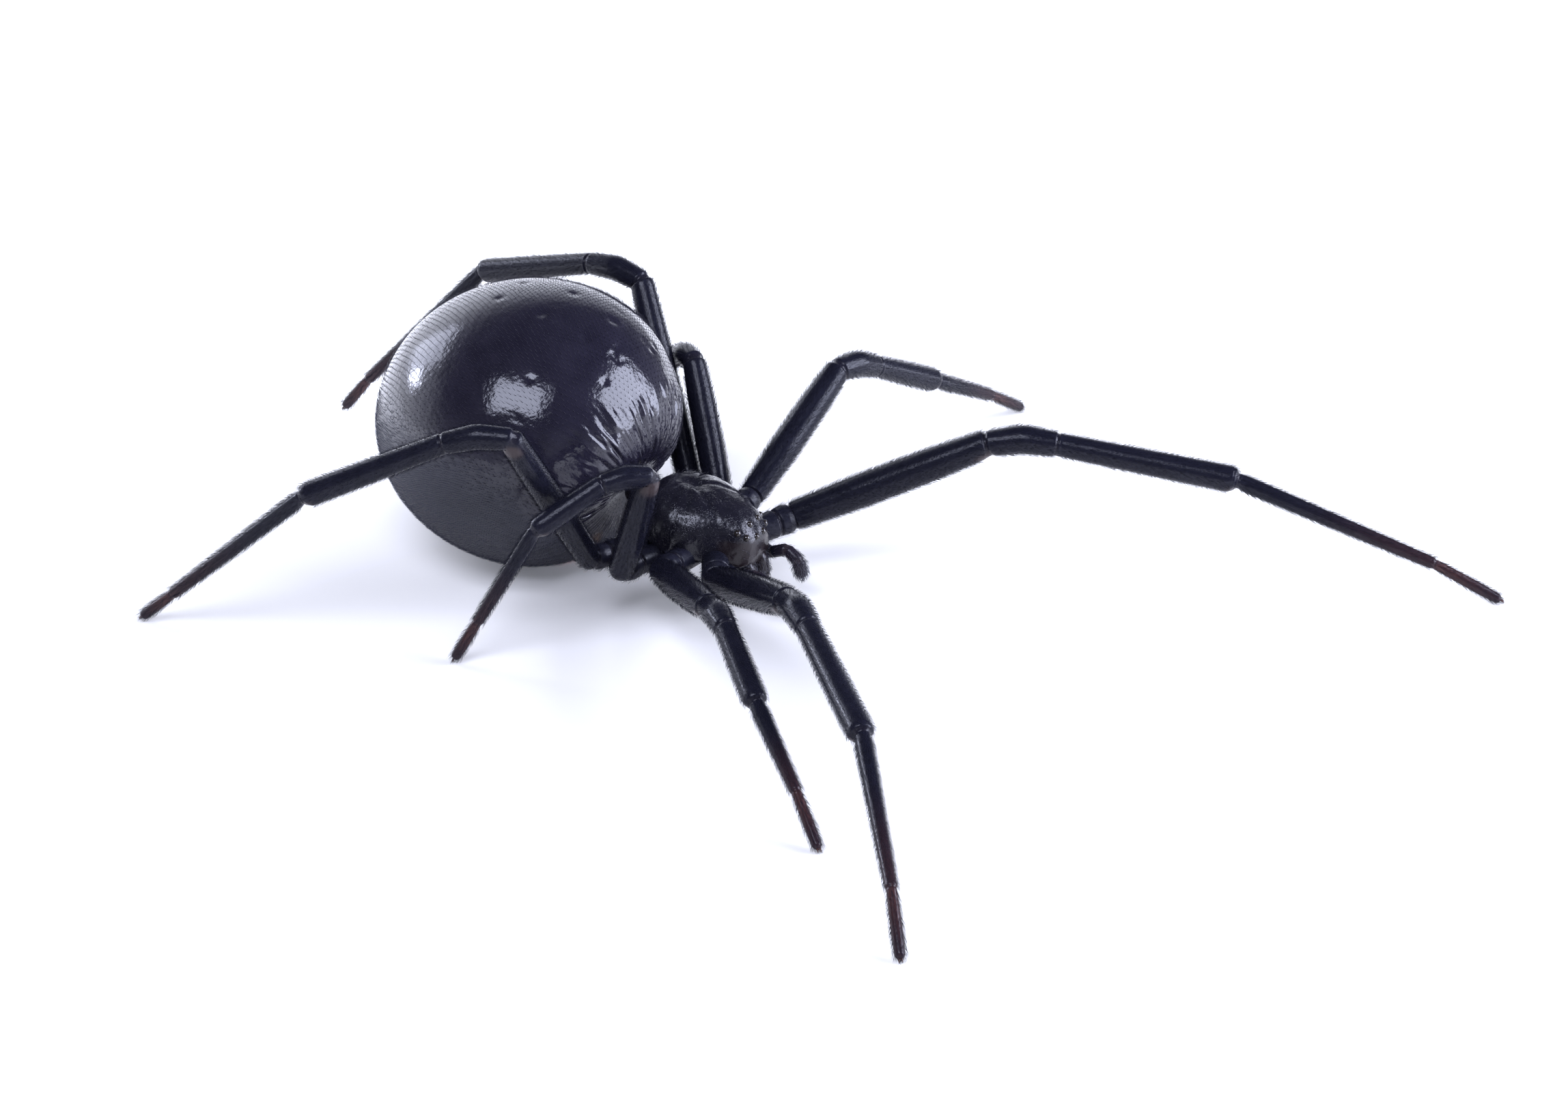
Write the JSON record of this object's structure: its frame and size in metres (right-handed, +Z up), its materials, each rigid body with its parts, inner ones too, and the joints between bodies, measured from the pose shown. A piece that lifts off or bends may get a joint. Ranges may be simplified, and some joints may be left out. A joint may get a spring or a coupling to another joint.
{
  "type": "black widow spider",
  "caption": "Life-size black widow spider standing with spread legs, its globe-shaped glossy black abdomen resting on the floor; a still natural-history model",
  "frame": {"origin": "middle of the bounding box, on the floor plane under the feet and the abdomen", "axes": "the spider's head points along -Y, its left side is +X, and +Z is up"},
  "size_m": [0.0336, 0.0388, 0.0088],
  "materials": {
    "cuticle": "glossy black cuticle with fine bumps and short hairs",
    "abdomen": "glossy blue-black skin with a velvet of short hairs",
    "mouthparts": "satin black, hairy",
    "feet": "satin, black turning reddish brown towards the tips"
  },
  "bodies": {
    "root": {"abdomen": "abdomen", "cephalothorax": "cuticle", "pedicel": "cuticle", "chelicera_left": "mouthparts", "pedipalp_left": "mouthparts", "chelicera_right": "mouthparts", "pedipalp_right": "mouthparts", "leg_left_1_femur": "cuticle", "leg_left_1_tibia": "cuticle", "leg_left_1_tarsus": "feet", "leg_left_2_femur": "cuticle", "leg_left_2_tibia": "cuticle", "leg_left_2_tarsus": "feet", "leg_left_3_femur": "cuticle", "leg_left_3_tibia": "cuticle", "leg_left_3_tarsus": "feet", "leg_left_4_femur": "cuticle", "leg_left_4_tibia": "cuticle", "leg_left_4_tarsus": "feet", "leg_right_1_femur": "cuticle", "leg_right_1_tibia": "cuticle", "leg_right_1_tarsus": "feet", "leg_right_2_femur": "cuticle", "leg_right_2_tibia": "cuticle", "leg_right_2_tarsus": "feet", "leg_right_3_femur": "cuticle", "leg_right_3_tibia": "cuticle", "leg_right_3_tarsus": "feet", "leg_right_4_femur": "cuticle", "leg_right_4_tibia": "cuticle", "leg_right_4_tarsus": "feet"}
  },
  "joints": []
}
